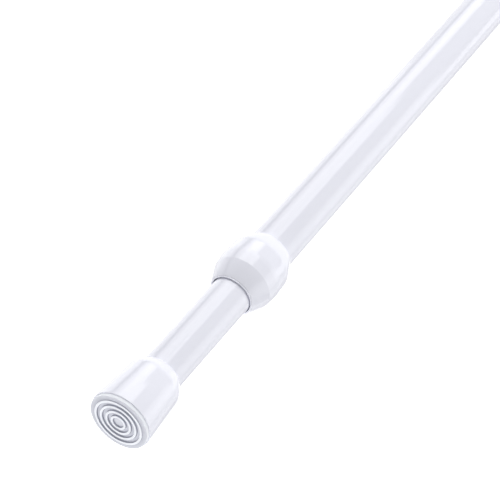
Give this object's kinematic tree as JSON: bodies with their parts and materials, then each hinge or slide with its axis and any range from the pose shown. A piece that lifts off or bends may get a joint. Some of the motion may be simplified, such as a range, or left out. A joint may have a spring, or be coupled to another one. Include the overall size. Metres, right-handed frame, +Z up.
{
  "type": "spring tension rod",
  "caption": "White telescoping curtain rod that holds itself between two walls by a spring, with rubber-faced taper end caps and a barrel collar.",
  "frame": {"origin": "centre of the wall face of the pad on the outer tube's end", "axes": "+X along the rod, out of the outer tube's end towards its wall; the rod lies towards -X; +Z up as the rod hangs a curtain"},
  "size_m": [0.454, 0.0256, 0.0256],
  "materials": {
    "white_paint": "gloss white powder coat",
    "white_plastic": "gloss white moulding",
    "grey_rubber": "matt light grey",
    "nylon": "natural nylon",
    "black_rubber": "matt black",
    "zinc_steel": "bright zinc",
    "spring_wire": "drawn spring steel"
  },
  "bodies": {
    "outer": {"outer_tube": "white_paint", "collar": "white_plastic", "collar_bush": "nylon", "far_cap": "white_plastic", "far_pad": "grey_rubber"},
    "lock_core": {"lock_sleeve": "nylon", "drag_ring": "black_rubber"},
    "cone": {"expander_cone": "nylon"},
    "spindle": {"spindle": "zinc_steel", "stop_nut": "zinc_steel", "stop_washer": "zinc_steel", "spring_washer_outer": "zinc_steel", "retaining_ring": "zinc_steel", "jam_nut": "zinc_steel", "compression_spring": "spring_wire"},
    "inner": {"inner_tube": "white_paint", "guide_plug": "nylon", "spring_washer_inner": "zinc_steel", "near_cap": "white_plastic", "near_pad": "grey_rubber"}
  },
  "joints": [
    {"name": "telescope", "type": "slide", "parent": "outer", "child": "lock_core", "axis": [1, 0, 0], "range_m": [-0.156, 0.022]},
    {"name": "twist_lock", "type": "hinge", "parent": "lock_core", "child": "spindle", "pos_m": [-0.0762, 0, 0], "axis": [1, 0, 0], "range_deg": [0, 540]},
    {"name": "cone_slide", "type": "slide", "parent": "lock_core", "child": "cone", "axis": [1, 0, 0], "range_m": [-0.0016, 0]},
    {"name": "spring_stroke", "type": "slide", "parent": "spindle", "child": "inner", "axis": [1, 0, 0], "range_m": [0, 0.024], "stiffness_N_per_m": 1500, "springref_m": -0.008, "deforming": ["compression_spring"]}
  ],
  "couplings": [
    {"joint": "cone_slide", "follows": "twist_lock", "m_per_rad": -0.00015915}
  ]
}
